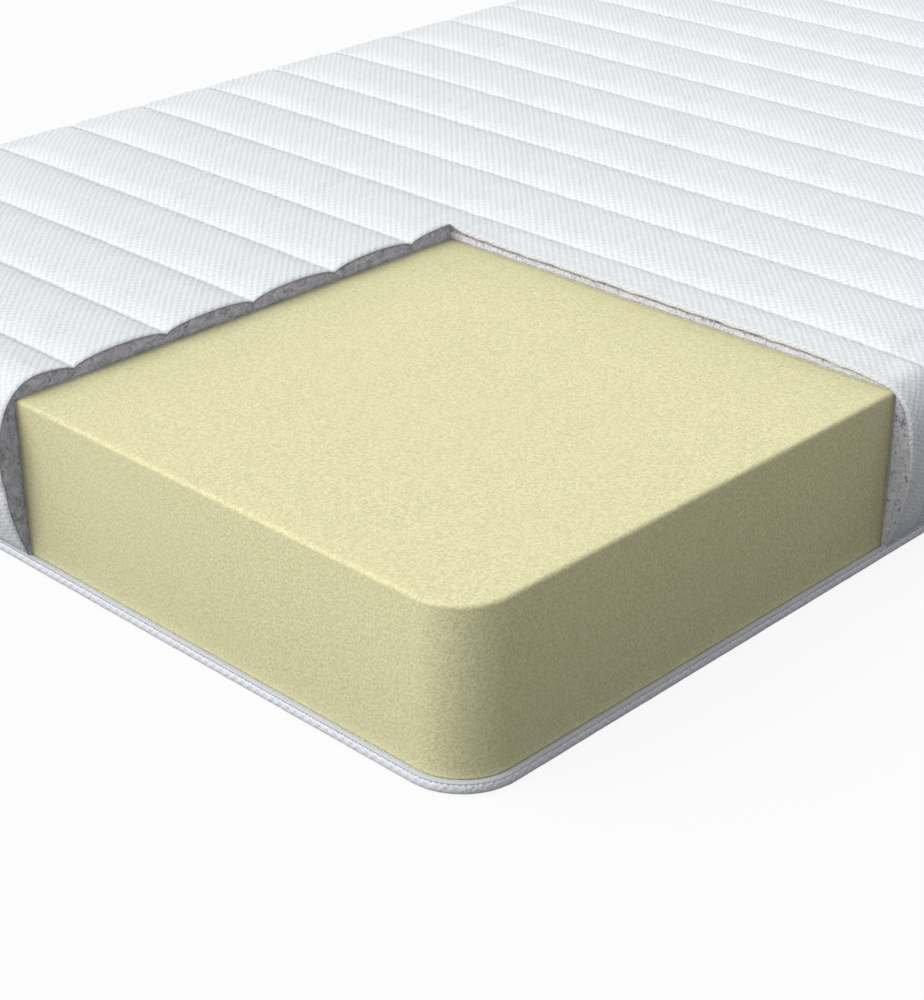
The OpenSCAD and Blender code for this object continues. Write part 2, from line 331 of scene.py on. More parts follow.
def shoulder(edge_z, mid_z, bulge, power):
    """Outs and heights where the top rounds over, down to where the wall stands out most."""
    angle = np.radians(np.linspace(90, 0, SHOULDER_ROWS))
    angle[0] = np.pi / 2 - 1e-9
    out = -SHOULDER_IN + (SHOULDER_IN + bulge) * np.cos(angle) ** (2 / power)
    high = mid_z + (edge_z[:, None] - mid_z) * np.sin(angle) ** (2 / power)
    return np.stack([np.broadcast_to(out, high.shape), high])


def skirt(hem, from_z, from_out, inset, rows):
    """Outs and heights of the wall below that, curving in to the hem."""
    high = hem[:, None] + (from_z - hem[:, None]) * np.linspace(1, 0, rows + 1)[1:]
    rise = (high - HEM_Z) / (from_z - HEM_Z)
    return np.stack([HEM_OUT - inset + (from_out - HEM_OUT) * np.sin(np.pi / 2 * rise), high])


def wall_form(side, values, edge_z, inset, detail):
    """Outs and heights of the cover's wall at each station on a side, from the shoulder to the hem.

    A long side keeps the channels of the top, and is drawn in along each quilting line. A short end
    bulges, with a crease half-way down. At the corners one turns into the other.
    """
    axis, sign = SIDES[side]
    stations = cover_stations(values, axis)
    turn, cloth = stations[4], stations[5]
    hem = np.full(len(values), HEM_Z)
    if side == "left":
        hem = np.where(np.abs(values) < GAP_END + 0.1 * MM, GAP_HIGH, HEM_Z)

    y = values if axis == 1 else np.full(len(values), sign * (FOAM_Y - SHOULDER_IN))
    full = plump(y)[:, None]
    bulge = SIDE_BULGE - inset - LINE_IN * (1 - full)
    upper = shoulder(edge_z, SIDE_MID_Z, bulge, SIDE_POWER + (LINE_POWER - SIDE_POWER) * (1 - full))
    lower = skirt(hem, SIDE_MID_Z, bulge + inset, inset, SKIRT_ROWS)
    long_out, long_high = np.concatenate([upper, lower], 2)

    quarter = np.radians(np.linspace(0, 90, ROLL_ROWS + 1)[1:])
    upper = shoulder(edge_z, END_MID_Z, END_BULGE - inset, END_POWER)
    roll = np.stack([
        CREASE_OUT - inset + (END_BULGE - CREASE_OUT) * np.cos(quarter),
        END_MID_Z - (END_MID_Z - CREASE_Z) * np.sin(quarter),
    ])[:, None].repeat(len(values), 1)
    lower = skirt(hem, CREASE_Z, CREASE_OUT, inset, SKIRT_ROWS - ROLL_ROWS)
    end_out, end_high = np.concatenate([upper, roll, lower], 2)

    share = turn / (np.pi / 2) if axis == 1 else 1 - turn / (np.pi / 2)
    share = smooth_step(share)[:, None]
    out = long_out * (1 - share) + end_out * share
    high = long_high * (1 - share) + end_high * share
    # the dart sewn into each corner, and the fabric drawn tight round it
    dart = np.clip(1 - (np.pi / 4 - turn) / 0.2, 0, 1)[:, None] * smooth_step((FOAM_Z1 - high) / 0.03)
    tight = np.sin(2 * turn)[:, None] * 1.6 * MM * smooth_step((FOAM_Z1 + 8 * MM - high) / 0.05)
    above_hem = smooth_step((high - HEM_Z) / (14 * MM))
    out = out - (1.6 * MM * dart ** 3 + tight) * above_hem
    if detail:
        calm = smooth_step((np.pi / 4 - turn) / 0.5)[:, None]
        out = out + calm * wall_detail(cloth, out, high, share)
    # beside the cut nothing holds the cover, and it stands off a little more
    loose, past = {"right": (FLARE_SIDE, values - CUT_Y), "front": (FLARE_END, CUT_X - values)}.get(
        side, (0, np.full(len(values), FLARE_REACH))
    )
    free = smooth_step(1 - past / FLARE_REACH)[:, None]
    rise = np.clip((high - HEM_Z) / (high[:, :1] - HEM_Z), 0, 1)
    out = out + loose * free * np.abs(np.sin(np.pi * rise)) ** 0.6
    return stations, out, high


def wall_detail(cloth, out, high, share):
    """Small folds: along the lines of a long side, along an end's crease, and at the hem."""
    along = np.broadcast_to(cloth[:, None], out.shape)
    below = smooth_step((FOAM_Z1 - high) / 0.02)
    near, line = line_distance(along)
    folds = 0.35 * MM * np.exp(-near / (7 * MM)) * smooth_step(near / (1.6 * MM))
    long_side = folds * ripples(high, line * 2 + np.sign(across_channel(along)), 0.016, 21)
    crease = np.exp(-np.abs(high - CREASE_Z) / (9 * MM)) * smooth_step(np.abs(high - CREASE_Z) / (2 * MM))
    end = 0.45 * MM * crease * ripples(along, high > CREASE_Z, 0.019, 22)
    hem = 0.5 * MM * np.exp(-(high - HEM_Z) / (12 * MM)) * smooth_step((high - HEM_Z) / (3 * MM))
    gather = hem * ripples(along, 3, 0.015, 23)
    soft = 0.5 * MM * ripples(along, 9, 0.21, 24) * below
    return (long_side * (1 - share) + end * share) * below + gather + soft


def quilt_cols(step):
    """The cover's grid lines along the bed: at the cut, round the corners and about step apart."""
    edge = FOAM_X - SHOULDER_IN
    corner = FOAM_R - SHOULDER_IN
    return merged(
        [CUT_X, -edge, edge, -edge + corner, edge - corner],
        between(-edge, -edge + corner, corner / 6), between(edge - corner, edge, corner / 6),
        between(-edge + corner, CUT_X, step), between(CUT_X, edge - corner, step),
    )


def quilt_rows(per_channel):
    """The cover's grid lines across the bed: on each quilting line and closer together beside it."""
    edge = FOAM_Y - SHOULDER_IN
    corner = FOAM_R - SHOULDER_IN
    lines = [y_of(k) for k in range(LINES)]
    turns = np.pi * np.arange(1, per_channel) / per_channel
    inner = [line + PITCH * (1 - math.cos(a)) / 2 for line in [LINE_0 - PITCH] + lines for a in turns]
    rows = merged(
        [CUT_Y, -edge, edge, -edge + corner, edge - corner], lines,
        GAP_ROWS,
        between(-edge, -edge + corner, corner / 6), between(edge - corner, edge, corner / 6),
        inner, apart=0.9 * MM,
    )
    return rows[np.abs(rows) <= edge + 1e-9]


def quilt_patches(cols, rows, inset, detail):
    """The top and the four walls of the cover at an inset, each as points and cloth coordinates."""
    edge_x, edge_y, corner = FOAM_X - SHOULDER_IN, FOAM_Y - SHOULDER_IN, FOAM_R - SHOULDER_IN
    x, y = round_corners(cols, rows, edge_x, edge_y, corner)
    z = quilt_top(x, y, inset, detail)
    top = np.stack([x, y, z], -1)
    patches = {"top": (top, top[..., :2])}
    edges = {"front": z[:, 0], "rear": z[:, -1], "left": z[0], "right": z[-1]}
    for side, (axis, _) in SIDES.items():
        values, reach = (cols, edge_y) if axis == 0 else (rows, edge_x)
        stations, out, high = wall_form(side, values, edges[side], inset, detail)
        points = wall_points(side, stations, out, high)
        patches[side] = (points, wall_cloth(points, stations, side, reach))
    return patches


def kept_cells(cols, rows, name):
    """Which cells of a patch the cut-away leaves."""
    past_x, before_y = cols[:-1] > CUT_X - 1e-6, rows[1:] < CUT_Y + 1e-6
    if name == "top":
        return ~(past_x[:, None] & before_y[None, :])
    if name == "front":
        return np.repeat(~past_x[:, None], SHOULDER_ROWS + SKIRT_ROWS - 1, 1)
    if name == "right":
        return np.repeat(~before_y[:, None], SHOULDER_ROWS + SKIRT_ROWS - 1, 1)
    return None


def cut_line(cols, rows, patches, which):
    """The cover's section along one cut, from the hem of its wall to the inner corner."""
    i, j = int(np.argmin(np.abs(cols - CUT_X))), int(np.argmin(np.abs(rows - CUT_Y)))
    if which == "across":
        wall, top = patches["front"][0][i], patches["top"][0][i, : j + 1]
    else:
        wall, top = patches["right"][0][j], patches["top"][0][i:, j][::-1]
    return np.concatenate([wall[::-1], top[1:]])


# ---- The cover's pieces ----

def join_rows(first, second):
    """Two matching lines of points, as a grid two columns wide."""
    return np.stack([first, second], 1)


def cloth_cover(name, materials):
    """The knitted cover: one skin with its edges turned in at the hem and along both cuts."""
    cols, rows = quilt_cols(5 * MM), quilt_rows(12)
    patches = quilt_patches(cols, rows, 0, True)
    inside = quilt_patches(cols, rows, KNIT_T, True)
    shape = Shape()
    for side, (points, uv) in patches.items():
        keep = kept_cells(cols, rows, side)
        shape.grid(points, uv, 0, keep, flip=turned(side))
        if side != "top":
            rim = join_rows(points[:, -1], inside[side][0][:, -1])
            keep = None if keep is None else keep[:, :1]
            shape.grid(rim, join_rows(uv[:, -1], uv[:, -1]), 0, keep, flip=turned(side))
    # slot 1, on the cut faces and under the lip, is painted shade under the knit's edge
    rim = join_rows(cut_line(cols, rows, patches, "across"), cut_line(cols, rows, inside, "across"))
    shape.grid(rim, rim[..., 1:], 1, flip=True)
    lip = rolled_lip(cut_line(cols, rows, patches, "along"), cut_line(cols, rows, inside, "along"))
    shape.grid(lip[:, :5], lip[:, :5, [0, 2]], 0)
    shape.grid(lip[:, 4:], lip[:, 4:, [0, 2]], 1)
    return shape.build(name, materials)


def rolled_lip(outer, inner):
    """The knit's edge where it hangs a little over the cut, from its outer face to its inner one."""
    arc = arc_length(outer)
    ends = np.minimum(arc, arc[-1] - arc)
    full = smooth_step(ends / (12 * MM))[:, None]
    full = full * (1 + 0.25 * ripples(arc, 4, 0.03, 71)[:, None])
    full = full * (0.15 + 0.85 * smooth_step((outer[:, 2] - 0.45 * CREST_Z) / (0.3 * CREST_Z)))[:, None]
    inwards = inner - outer
    inwards[:, 1] = 0
    inwards /= np.linalg.norm(inwards, axis=1)[:, None]
    deep = KNIT_T + (LIP_DEEP - KNIT_T) * full
    bend = np.array([(0, 0), (0.1, 0.45), (0.3, 0.8), (0.6, 1), (0.9, 0.95), (1.0, 0.7), (1.02, 0)])
    lip = outer[:, None] + inwards[:, None] * (deep * bend[:, 0])[..., None]
    lip[..., 1] += (inner[:, 1] - outer[:, 1])[:, None] * bend[:, 0] - LIP_OUT * full * bend[:, 1]
    return lip


def read_mesh(mesh, what):
    """A value of every point of a mesh, as rows of three."""
    values = np.zeros(len(mesh.vertices) * 3, np.float32)
    mesh.vertices.foreach_get(what, values)
    return values.reshape(-1, 3)


def settle(piece, held):
    """Lets a fabric settle by cloth simulation, with the wadding pressing a little from inside.

    held is how firmly each point is held where it is, from 0 to 1. The fabric is cut a little
    larger than its place, so it puckers beside its seams.
    """
    group = piece.vertex_groups.new(name="held")
    for weight in np.unique(held):
        group.add(np.flatnonzero(held == weight).tolist(), float(weight), "REPLACE")
    cloth = piece.modifiers.new("cloth", "CLOTH")
    knit = cloth.settings
    knit.quality = 5
    knit.mass = 0.2
    knit.tension_stiffness = 20
    knit.compression_stiffness = 20
    knit.shear_stiffness = 8
    knit.bending_stiffness = 0.05
    knit.vertex_group_mass = "held"
    knit.shrink_min = -SPARE_CLOTH
    knit.use_pressure = True
    knit.uniform_pressure_force = CLOTH_PRESSURE
    knit.effector_weights.gravity = 0
    cloth.collision_settings.use_collision = False
    cloth.point_cache.frame_end = CLOTH_FRAMES
    for step in range(1, CLOTH_FRAMES + 1):
        bpy.context.scene.frame_set(step)
    settled = piece.evaluated_get(bpy.context.evaluated_depsgraph_get()).to_mesh()
    start, normals = read_mesh(piece.data, "co"), read_mesh(piece.data, "normal")
    moved = read_mesh(settled, "co") - start
    moved[held == 1] = 0
    far = np.linalg.norm(moved, axis=1)
    moved *= np.minimum(1, CLOTH_CAP / np.maximum(far, 1e-9))[:, None]
    sunk = np.minimum(0, (moved * normals).sum(1) + KNIT_T / 2)
    moved -= normals * sunk[:, None]
    piece.modifiers.remove(cloth)
    piece.vertex_groups.remove(group)
    bpy.context.scene.frame_set(1)
    piece.data.vertices.foreach_set("co", (start + moved).ravel())
    piece.data.update()


def cover_holds(piece):
    """How firmly each point of the cover is held: fully along its seams, and loosely elsewhere."""
    x, y, z = read_mesh(piece.data, "co").T
    near_line, _ = line_distance(y)
    on_top = np.abs(y) < FOAM_Y - SHOULDER_IN
    held = np.where(on_top, 0.02, 0.3)
    seams = (near_line < 0.3 * MM) & on_top
    hem = z < HEM_Z + 12 * MM
    corner = (np.abs(x) > FOAM_X - FOAM_R) & (np.abs(y) > FOAM_Y - FOAM_R - 10 * MM)
    cut = (x > CUT_X - 4 * MM) & (y < CUT_Y + 4 * MM)
    crease = (np.abs(z - CREASE_Z) < 9 * MM) & (np.abs(y) > FOAM_Y)
    held[seams | hem | corner | cut | crease] = 1
    return held


def lining_patches(cols, rows, outer, out):
    """The cover's inside face, level over the foam's top and upright down its sides."""
    top = outer["top"][0].copy()
    top[..., 2] = FOAM_Z1 + out
    patches = {"top": (top, top[..., :2])}
    bend = SHOULDER_ROWS // 2
    for side, (axis, _) in SIDES.items():
        stations = cover_stations(cols if axis == 0 else rows, axis)
        high = outer[side][0][..., 2].copy()
        outs = np.full(high.shape, out)
        outs[:, : bend + 1] = np.linspace(-SHOULDER_IN, out, bend + 1)
        high[:, : bend + 1] = FOAM_Z1 + out
        fall = np.linspace(0, 1, SHOULDER_ROWS - bend)
        last = high[:, SHOULDER_ROWS - 1 : SHOULDER_ROWS]
        high[:, bend:SHOULDER_ROWS] = (FOAM_Z1 + out) * (1 - fall) + last * fall
        points = wall_points(side, stations, outs, high)
        patches[side] = (points, points[..., [axis, 2]])
    return patches


def cover_layer(name, materials, outer_inset, inner_out, step, per_channel, layers, rough):
    """A closed layer of the cover between two of its forms, with its own faces at the cuts.

    outer_inset is the layer's depth under the knit, or None where it is a sheet on the foam.
    """
    cols, rows = quilt_cols(step), quilt_rows(per_channel)
    form = quilt_patches(cols, rows, outer_inset or KNIT_T, True)
    outer = lining_patches(cols, rows, form, BACKING_T) if outer_inset is None else form
    inner = lining_patches(cols, rows, form, inner_out)
    shape = Shape()
    for side, (points, uv) in outer.items():
        keep = kept_cells(cols, rows, side)
        shape.grid(points, uv, 0, keep, flip=turned(side))
        shape.grid(inner[side][0], uv, 0, keep, flip=not turned(side))
        if side != "top":
            hem = join_rows(points[:, -1], inner[side][0][:, -1])
            keep = None if keep is None else keep[:, :1]
            shape.grid(hem, hem[..., :2], 0, keep, flip=turned(side))
    for slot, which, axis in ((0, "across", 0), (1, "along", 1)):
        first, last = cut_line(cols, rows, outer, which), cut_line(cols, rows, inner, which)
        share = np.linspace(0, 1, layers + 1)[None, :, None]
        cap = first[:, None] * (1 - share) + last[:, None] * share
        if rough:
            jitter = np.random.default_rng(31 + axis).normal(0, rough, cap.shape[:2])
            jitter[:, [0, -1]] = 0
            jitter[[0, -1]] = 0
            cap[..., axis] += jitter
        depth = np.broadcast_to(share[..., 0], cap.shape[:2])
        shape.grid(cap, np.stack([cap[..., 1 - axis], depth], -1), slot, flip=which == "across")
    return shape.build(name, materials)


# ---- Blocks and the bottom panel ----

def block_grid(half_x, half_y, radius, step, extra=()):
    """Columns and rows for a slab with round corners."""
    turns = 8
    lists = []
    for half, more in ((half_x, ()), (half_y, extra)):
        flat = half - radius
        lists.append(merged(
            [-half, half, -flat, flat], list(more), between(-half, -flat, radius / turns),
            between(flat, half, radius / turns), between(-flat, flat, step), apart=0.9 * MM,
        ))
    return lists


def block(name, materials, profile, step, level, extra=(), lid=True, wave=0.0):
    """A slab with round corners. profile(values, side) gives each station's outs and heights.

    The profile runs from the underside's edge to the top's. level is (underside, top).
    """
    start = profile(np.zeros(1), "front")
    first, last = start[0][0, 0], start[0][0, -1]
    shape = Shape()
    half_x, half_y, radius = FOAM_X + first, FOAM_Y + first, FOAM_R + first
    cols, rows = block_grid(half_x, half_y, radius, step, extra)
    x, y = round_corners(cols, rows, half_x, half_y, radius)
    under = np.stack([x, y, np.full(x.shape, level[0])], -1)
    shape.grid(under, under[..., :2], 0, flip=True)
    for side, (axis, _) in SIDES.items():
        values, half, other = (cols, half_x, FOAM_Y) if axis == 0 else (rows, half_y, FOAM_X)
        stations = side_stations(values, half, other, radius, -first)
        out, high = profile(values, side)
        if wave:
            calm = smooth_step((np.pi / 4 - stations[4]) / 0.4)[:, None]
            inside = np.ones(out.shape[1])
            inside[[0, -1]] = 0
            along = np.broadcast_to(stations[5][:, None], out.shape)
            out = out + wave * calm * inside * ripples(along, np.arange(out.shape[1]) // 2, 0.017, 44)
        points = wall_points(side, stations, out, high)
        shape.grid(points, wall_cloth(points, stations, side, other), 0, flip=not turned(side))
    if lid:
        x, y = lid_points(cols, rows, first, last)
        top = np.stack([x, y, np.full(x.shape, level[1])], -1)
        shape.grid(top, top[..., :2], 0)
    return shape.build(name, materials)


def lid_points(cols, rows, first, last):
    """The grid of block's underside, drawn in or out from one edge to another."""
    moved = []
    for values, half in ((cols, FOAM_X), (rows, FOAM_Y)):
        flat = half - FOAM_R
        over = np.clip((np.abs(values) - flat) / (FOAM_R + first), 0, 1)
        moved.append(np.sign(values) * (np.minimum(np.abs(values), flat) + over * (FOAM_R + last)))
    return round_corners(moved[0], moved[1], FOAM_X + last, FOAM_Y + last, FOAM_R + last)


def edged_profile(out, low, high, low_r, high_r):
    """A profile with both edges rounded, for block."""
    angle = np.radians(np.linspace(0, 90, 6))
    outs = np.concatenate([out - low_r + low_r * np.sin(angle), out - high_r + high_r * np.cos(angle)])
    highs = np.concatenate([low + low_r - low_r * np.cos(angle), high - high_r + high_r * np.sin(angle)])

    def profile(values, side):
        return np.tile(outs, (len(values), 1)), np.tile(highs, (len(values), 1))
    return profile


def panel_profile(values, side):
    """The bottom panel's rim: rounded below, with a ledge above that steps down for the zip."""
    rim = [
        (1.5, 0), (2.84, 0.27), (3.97, 1.03), (4.73, 2.16), (5, 3.5), (5.05, 4.4), (5.02, 5.4),
        (4.9, 6.5), (4.55, 7.4), (3.9, 7.93), (3.0, 8.0), (1.5, 7.95), (0.4, 7.9),
    ]
    stepped = [
        (1.5, 0), (2.84, 0.2), (3.97, 0.8), (4.73, 1.7), (5, 2.6), (4.95, 3.4), (4.6, 4.15),
        (3.9, 4.55), (2.9, 4.6), (1.6, 4.6), (0.75, 4.75), (0.6, 5.4), (0.5, 7.9),
    ]
    rim, stepped = np.array(rim) * MM, np.array(stepped) * MM
    inside = 0 * values if side != "left" else (np.abs(values) < GAP_END + 0.1 * MM)
    share = np.asarray(inside, float)[:, None]
    out = rim[:, 0] * (1 - share) + stepped[:, 0] * share
    return out, rim[:, 1] * (1 - share) + stepped[:, 1] * share


# ---- Runs round the rim, and straight strips ----

def rim_walk(step):
    """Points, outward directions and lengths round the foam's outline, from zip end to zip end."""
    flat_x, flat_y = FOAM_X - FOAM_R, FOAM_Y - FOAM_R
    corner, first = math.pi / 2 * FOAM_R, flat_y - GAP_END
    legs = [first, corner, 2 * flat_x, corner, 2 * flat_y, corner, 2 * flat_x, corner, first]
    starts = np.concatenate([[0], np.cumsum(legs)])
    pivots = np.array([
        (-flat_x, GAP_END), (-flat_x, flat_y), (flat_x, flat_y), (flat_x, -flat_y), (-flat_x, -flat_y)
    ])
    lengths = np.linspace(0, starts[-1], int(round(starts[-1] / step)) + 1)
    feet, outs = [], []
    for length in lengths:
        leg = min(int(np.searchsorted(starts, length, side="right")) - 1, len(legs) - 1)
        rest = length - starts[leg]
        straight = leg % 2 == 0
        turn = leg // 2 * math.pi / 2 + (0 if straight else rest / FOAM_R)
        normal = np.array([-math.cos(turn), math.sin(turn)])
        ahead = np.array([normal[1], -normal[0]]) * (rest if straight else 0)
        feet.append(pivots[(leg + 1) // 2] + FOAM_R * normal + ahead)
        outs.append(normal)
    return np.array(feet), np.array(outs), lengths


def ribbon(name, materials, profile, step, wobble):
    """A tape with a closed profile of (out, height), laid round the rim."""
    feet, outs, lengths = rim_walk(step)
    profile = np.array(profile)
    ring = np.concatenate([profile, profile[:1]])
    points = np.zeros((len(feet), len(ring), 3))
    sway = 1 + wobble * ripples(lengths, 5, 0.04, 61)
    out = ring[None, :, 0] * sway[:, None]
    points[..., 0] = feet[:, None, 0] + outs[:, None, 0] * out
    points[..., 1] = feet[:, None, 1] + outs[:, None, 1] * out
    points[..., 2] = ring[None, :, 1]
    across = arc_length(ring)
    uv = np.stack(np.broadcast_arrays(lengths[:, None], across[None]), -1)
    shape = Shape()
    shape.grid(points, uv, 0)
    half = len(profile) // 2
    for end, flip in ((0, True), (-1, False)):
        low = points[end, : half]
        high = points[end, half : 2 * half][::-1]
        shape.grid(join_rows(low, high), None, 0, flip=flip)
    return shape.build(name, materials, weld=0.005 * MM)


def strip(name, materials, y_end, low, high, out, thick, step, chain):
    """A flat tape on the far long side, from -y_end to y_end, its edges a little rounded.

    low and high are each a height along the chain and one past its ends. chain is where it ends.
    """
    past = 0.3 * MM
    along = merged([chain[0] - past, chain[0], chain[1], chain[1] + past], between(-y_end, y_end, step),
                   apart=past * 0.9)
    ends = ((along < chain[0] - past / 2) | (along > chain[1] + past / 2))[:, None]
    edge = 0.12 * MM
    ring = np.array([
        (-thick / 2 + edge, 0, 0), (-thick / 2, 0, edge), (-thick / 2, 0.5, 0), (-thick / 2, 1, -edge),
        (-thick / 2 + edge, 1, 0), (thick / 2 - edge, 1, 0), (thick / 2, 1, -edge), (thick / 2, 0.5, 0),
        (thick / 2, 0, edge), (thick / 2 - edge, 0, 0), (-thick / 2 + edge, 0, 0),
    ])
    low_z = np.where(ends, low[1], low[0])
    high_z = np.where(ends, high[1], high[0])
    points = np.zeros((len(along), len(ring), 3))
    points[..., 0] = -FOAM_X - out - ring[None, :, 0]
    points[..., 1] = along[:, None]
    points[..., 2] = low_z + (high_z - low_z) * ring[None, :, 1] + ring[None, :, 2]
    sides = np.stack([ring[:, 0], ring[:, 1] * (high[0] - low[0]) + ring[:, 2]], 1)
    across = arc_length(sides)
    uv = np.stack(np.broadcast_arrays(along[:, None], across[None]), -1)
    shape = Shape()
    shape.grid(points, uv, 0)
    for end, flip in ((0, True), (-1, False)):
        shape.grid(join_rows(points[end, :5], points[end, 5:10][::-1]), None, 0, flip=flip)
    return shape.build(name, materials, weld=0.005 * MM)


def coil(name, materials, y_end, centre_z, out, wide, thick, pitch, wire, phase):
    """One half of the zip's chain: a flattened helix of nylon wire."""
    per_turn, sides = 8, 4
    turns = int(round(2 * y_end / pitch))
    at = np.arange(turns * per_turn + 1) / per_turn
    angle = 2 * np.pi * at + phase
    y = -y_end + at * (2 * y_end / turns)
    centre = np.stack([
        -FOAM_X - out - (thick / 2 - wire) * np.sin(angle), y,
        centre_z + (wide / 2 - wire) * np.cos(angle),
    ], 1)
    way = np.gradient(centre, axis=0)
    way /= np.linalg.norm(way, axis=1)[:, None]
    side = np.cross(way, [0, 1.0, 0])
    side /= np.linalg.norm(side, axis=1)[:, None]
    other = np.cross(way, side)
    round_ = 2 * np.pi * np.arange(sides + 1) / sides + np.pi / 4
    points = centre[:, None] + wire * (
        np.cos(round_)[None, :, None] * side[:, None] + np.sin(round_)[None, :, None] * other[:, None]
    )
    shape = Shape()
    shape.grid(points, points[..., 1:], 0)
    for end, flip in ((0, False), (-1, True)):
        cap = np.stack([points[end, [0, 1]], points[end, [3, 2]]], 0)
        shape.grid(cap, None, 0, flip=flip)
    return shape.build(name, materials, weld=0.002 * MM)


def stitches(name, materials, centres, ways, ups, length, thick):
    """Short rounded stitches. Each has a centre, a direction along and a direction up."""
    rings = np.array([(-0.5, 0.25), (-0.38, 0.85), (0.0, 1.0), (0.38, 0.85), (0.5, 0.25)])
    sides = 5
    round_ = 2 * np.pi * np.arange(sides + 1) / sides
    across = np.cross(ways, ups)
    shape = Shape()
    along = rings[:, 0] * length
    sag = -0.35 * thick * (2 * rings[:, 0]) ** 2
    ring = (np.cos(round_)[None] * rings[:, 1:] * thick / 2, np.sin(round_)[None] * rings[:, 1:] * thick / 2)
    points = (
        centres[:, None, None] + ways[:, None, None] * along[None, :, None, None]
        + across[:, None, None] * ring[0][None, ..., None]
        + ups[:, None, None] * (ring[1] + sag[:, None])[None, ..., None]
    )
    index = np.arange(points.size // 3).reshape(points.shape[:3])
    cells = np.stack([
        index[:, :-1, :-1], index[:, 1:, :-1], index[:, 1:, 1:], index[:, :-1, 1:],
    ], -1).reshape(-1, 4)
    points = points.reshape(-1, 3)
    shape.add(points, cells, points[cells][..., :2], 0)
    return shape.build(name, materials, weld=0.004 * MM)


# ---- Materials ----

class Graph:
    """A material and the few kinds of node it is made of."""

    def __init__(self, name, roughness, specular, **inputs):
        self.material = bpy.data.materials.new(name)
        self.material.use_nodes = True
        self.tree = self.material.node_tree
        self.shader = self.tree.nodes["Principled BSDF"]
        self.shader.inputs["Roughness"].default_value = roughness
        self.shader.inputs["Specular IOR Level"].default_value = specular
        for key, value in inputs.items():
            self.shader.inputs[key.replace("_", " ")].default_value = value

    def node(self, kind, **settings):
        node = self.tree.nodes.new("ShaderNode" + kind)
        for key, value in settings.items():
            setattr(node, key, value)
        return node

    def put(self, socket, value):
        """Links a socket to another node's output, or sets its value."""
        if isinstance(value, bpy.types.NodeSocket):
            self.tree.links.new(value, socket)
        else:
            socket.default_value = value

    def math(self, operation, *values):
        node = self.node("Math", operation=operation)
        for socket, value in zip(node.inputs, values):
            self.put(socket, value)
        return node.outputs[0]

    def times(self, first, second):
        return self.math("MULTIPLY", first, second)

    def plus(self, first, second):
        return self.math("ADD", first, second)

    def minus(self, first, second):
        return self.math("SUBTRACT", first, second)

    def place(self):
        return self.node("TexCoord").outputs["Object"]

    def axes(self, where=None):
        """The x, y and z of a place, or of where the surface is."""
        node = self.node("SeparateXYZ")
        self.put(node.inputs[0], where or self.place())
        return node.outputs[0], node.outputs[1], node.outputs[2]

    def cloth(self):
        """The two coordinates of the fabric, in metres."""
        return self.axes(self.node("UVMap", uv_map="cloth").outputs[0])[:2]

    def wave(self, u, v, along_u, along_v):
        """A sine from -1 to 1 with that many cycles per metre along each coordinate."""
        total = self.plus(self.times(u, along_u), self.times(v, along_v))
        return self.math("SINE", self.times(total, 2 * math.pi))

    def noise(self, scale, detail, stretch=None):
        """Noise from 0 to 1. Its grain is longer along an axis where stretch is under 1."""
        where = self.place()
        if stretch:
            mapping = self.node("Mapping")
            self.put(mapping.inputs["Vector"], where)
            mapping.inputs["Scale"].default_value = stretch
            where = mapping.outputs[0]
        node = self.node("TexNoise")
        self.put(node.inputs["Vector"], where)
        self.put(node.inputs["Scale"], scale)
        self.put(node.inputs["Detail"], detail)
        return node.outputs[0]

    def cells(self, scale):
        """The distance to the nearest of many scattered points."""
        node = self.node("TexVoronoi")
        self.put(node.inputs["Vector"], self.place())
        self.put(node.inputs["Scale"], scale)
        return node.outputs["Distance"]

    def ramp(self, value, low, high, to_low=0.0, to_high=1.0):
        """A smooth change from to_low to to_high while the value goes from low to high."""
        node = self.node("MapRange", interpolation_type="SMOOTHSTEP")
        for socket, given in zip(node.inputs, (value, low, high, to_low, to_high)):
            self.put(socket, given)
        return node.outputs[0]

    def mix(self, share, first, second):
        """The first colour where share is 0, and the second where it is 1."""
        node = self.node("Mix", data_type="RGBA")
        self.put(node.inputs[0], share)
        for socket, value in ((node.inputs[6], first), (node.inputs[7], second)):
            self.put(socket, value if isinstance(value, bpy.types.NodeSocket) else (*value, 1))
        return node.outputs[2]

    def finish(self, colour, height, distance, strength=1.0, roughness=None):
        """Sets the colour and the bump, and a roughness that varies, and returns the material."""
        self.put(self.shader.inputs["Base Color"], colour)
        bump = self.node("Bump")
        self.put(bump.inputs["Height"], height)
        bump.inputs["Strength"].default_value = strength
        bump.inputs["Distance"].default_value = distance
        self.put(self.shader.inputs["Normal"], bump.outputs[0])
        if roughness is not None:
            self.put(self.shader.inputs["Roughness"], roughness)
        return self.material


def foam_material():
    """Open-cell foam: pale yellow, with a fine grain of cells, painted highlights, and painted shade beside
    the cover's cut edges.
    """
    g = Graph("foam", 0.92, 0.2)
    fine, cell, soft = g.noise(520, 4), g.cells(740), g.noise(7, 2)
    grain = g.plus(fine, g.times(cell, 0.3))
    tint = g.mix(g.ramp(grain, 0.44, 0.86), (0.665, 0.638, 0.366), (0.876, 0.836, 0.503))
    tint = g.mix(g.ramp(soft, 0.3, 0.7, 0.0, 0.25), tint, (0.775, 0.735, 0.435))
    # painted highlights: small bright specks painted onto the foam's cells
    painted_glint = g.ramp(g.noise(760, 1), 0.64, 0.74, 0.0, 0.75)
    tint = g.mix(painted_glint, tint, (0.95, 0.92, 0.62))
    # painted shade: the foam's colour darkened towards a shade colour beside the cover's cut edges
    tint = g.mix(cut_shade(g), tint, (0.30, 0.27, 0.16))
    return g.finish(tint, grain, 0.0005, 0.55)


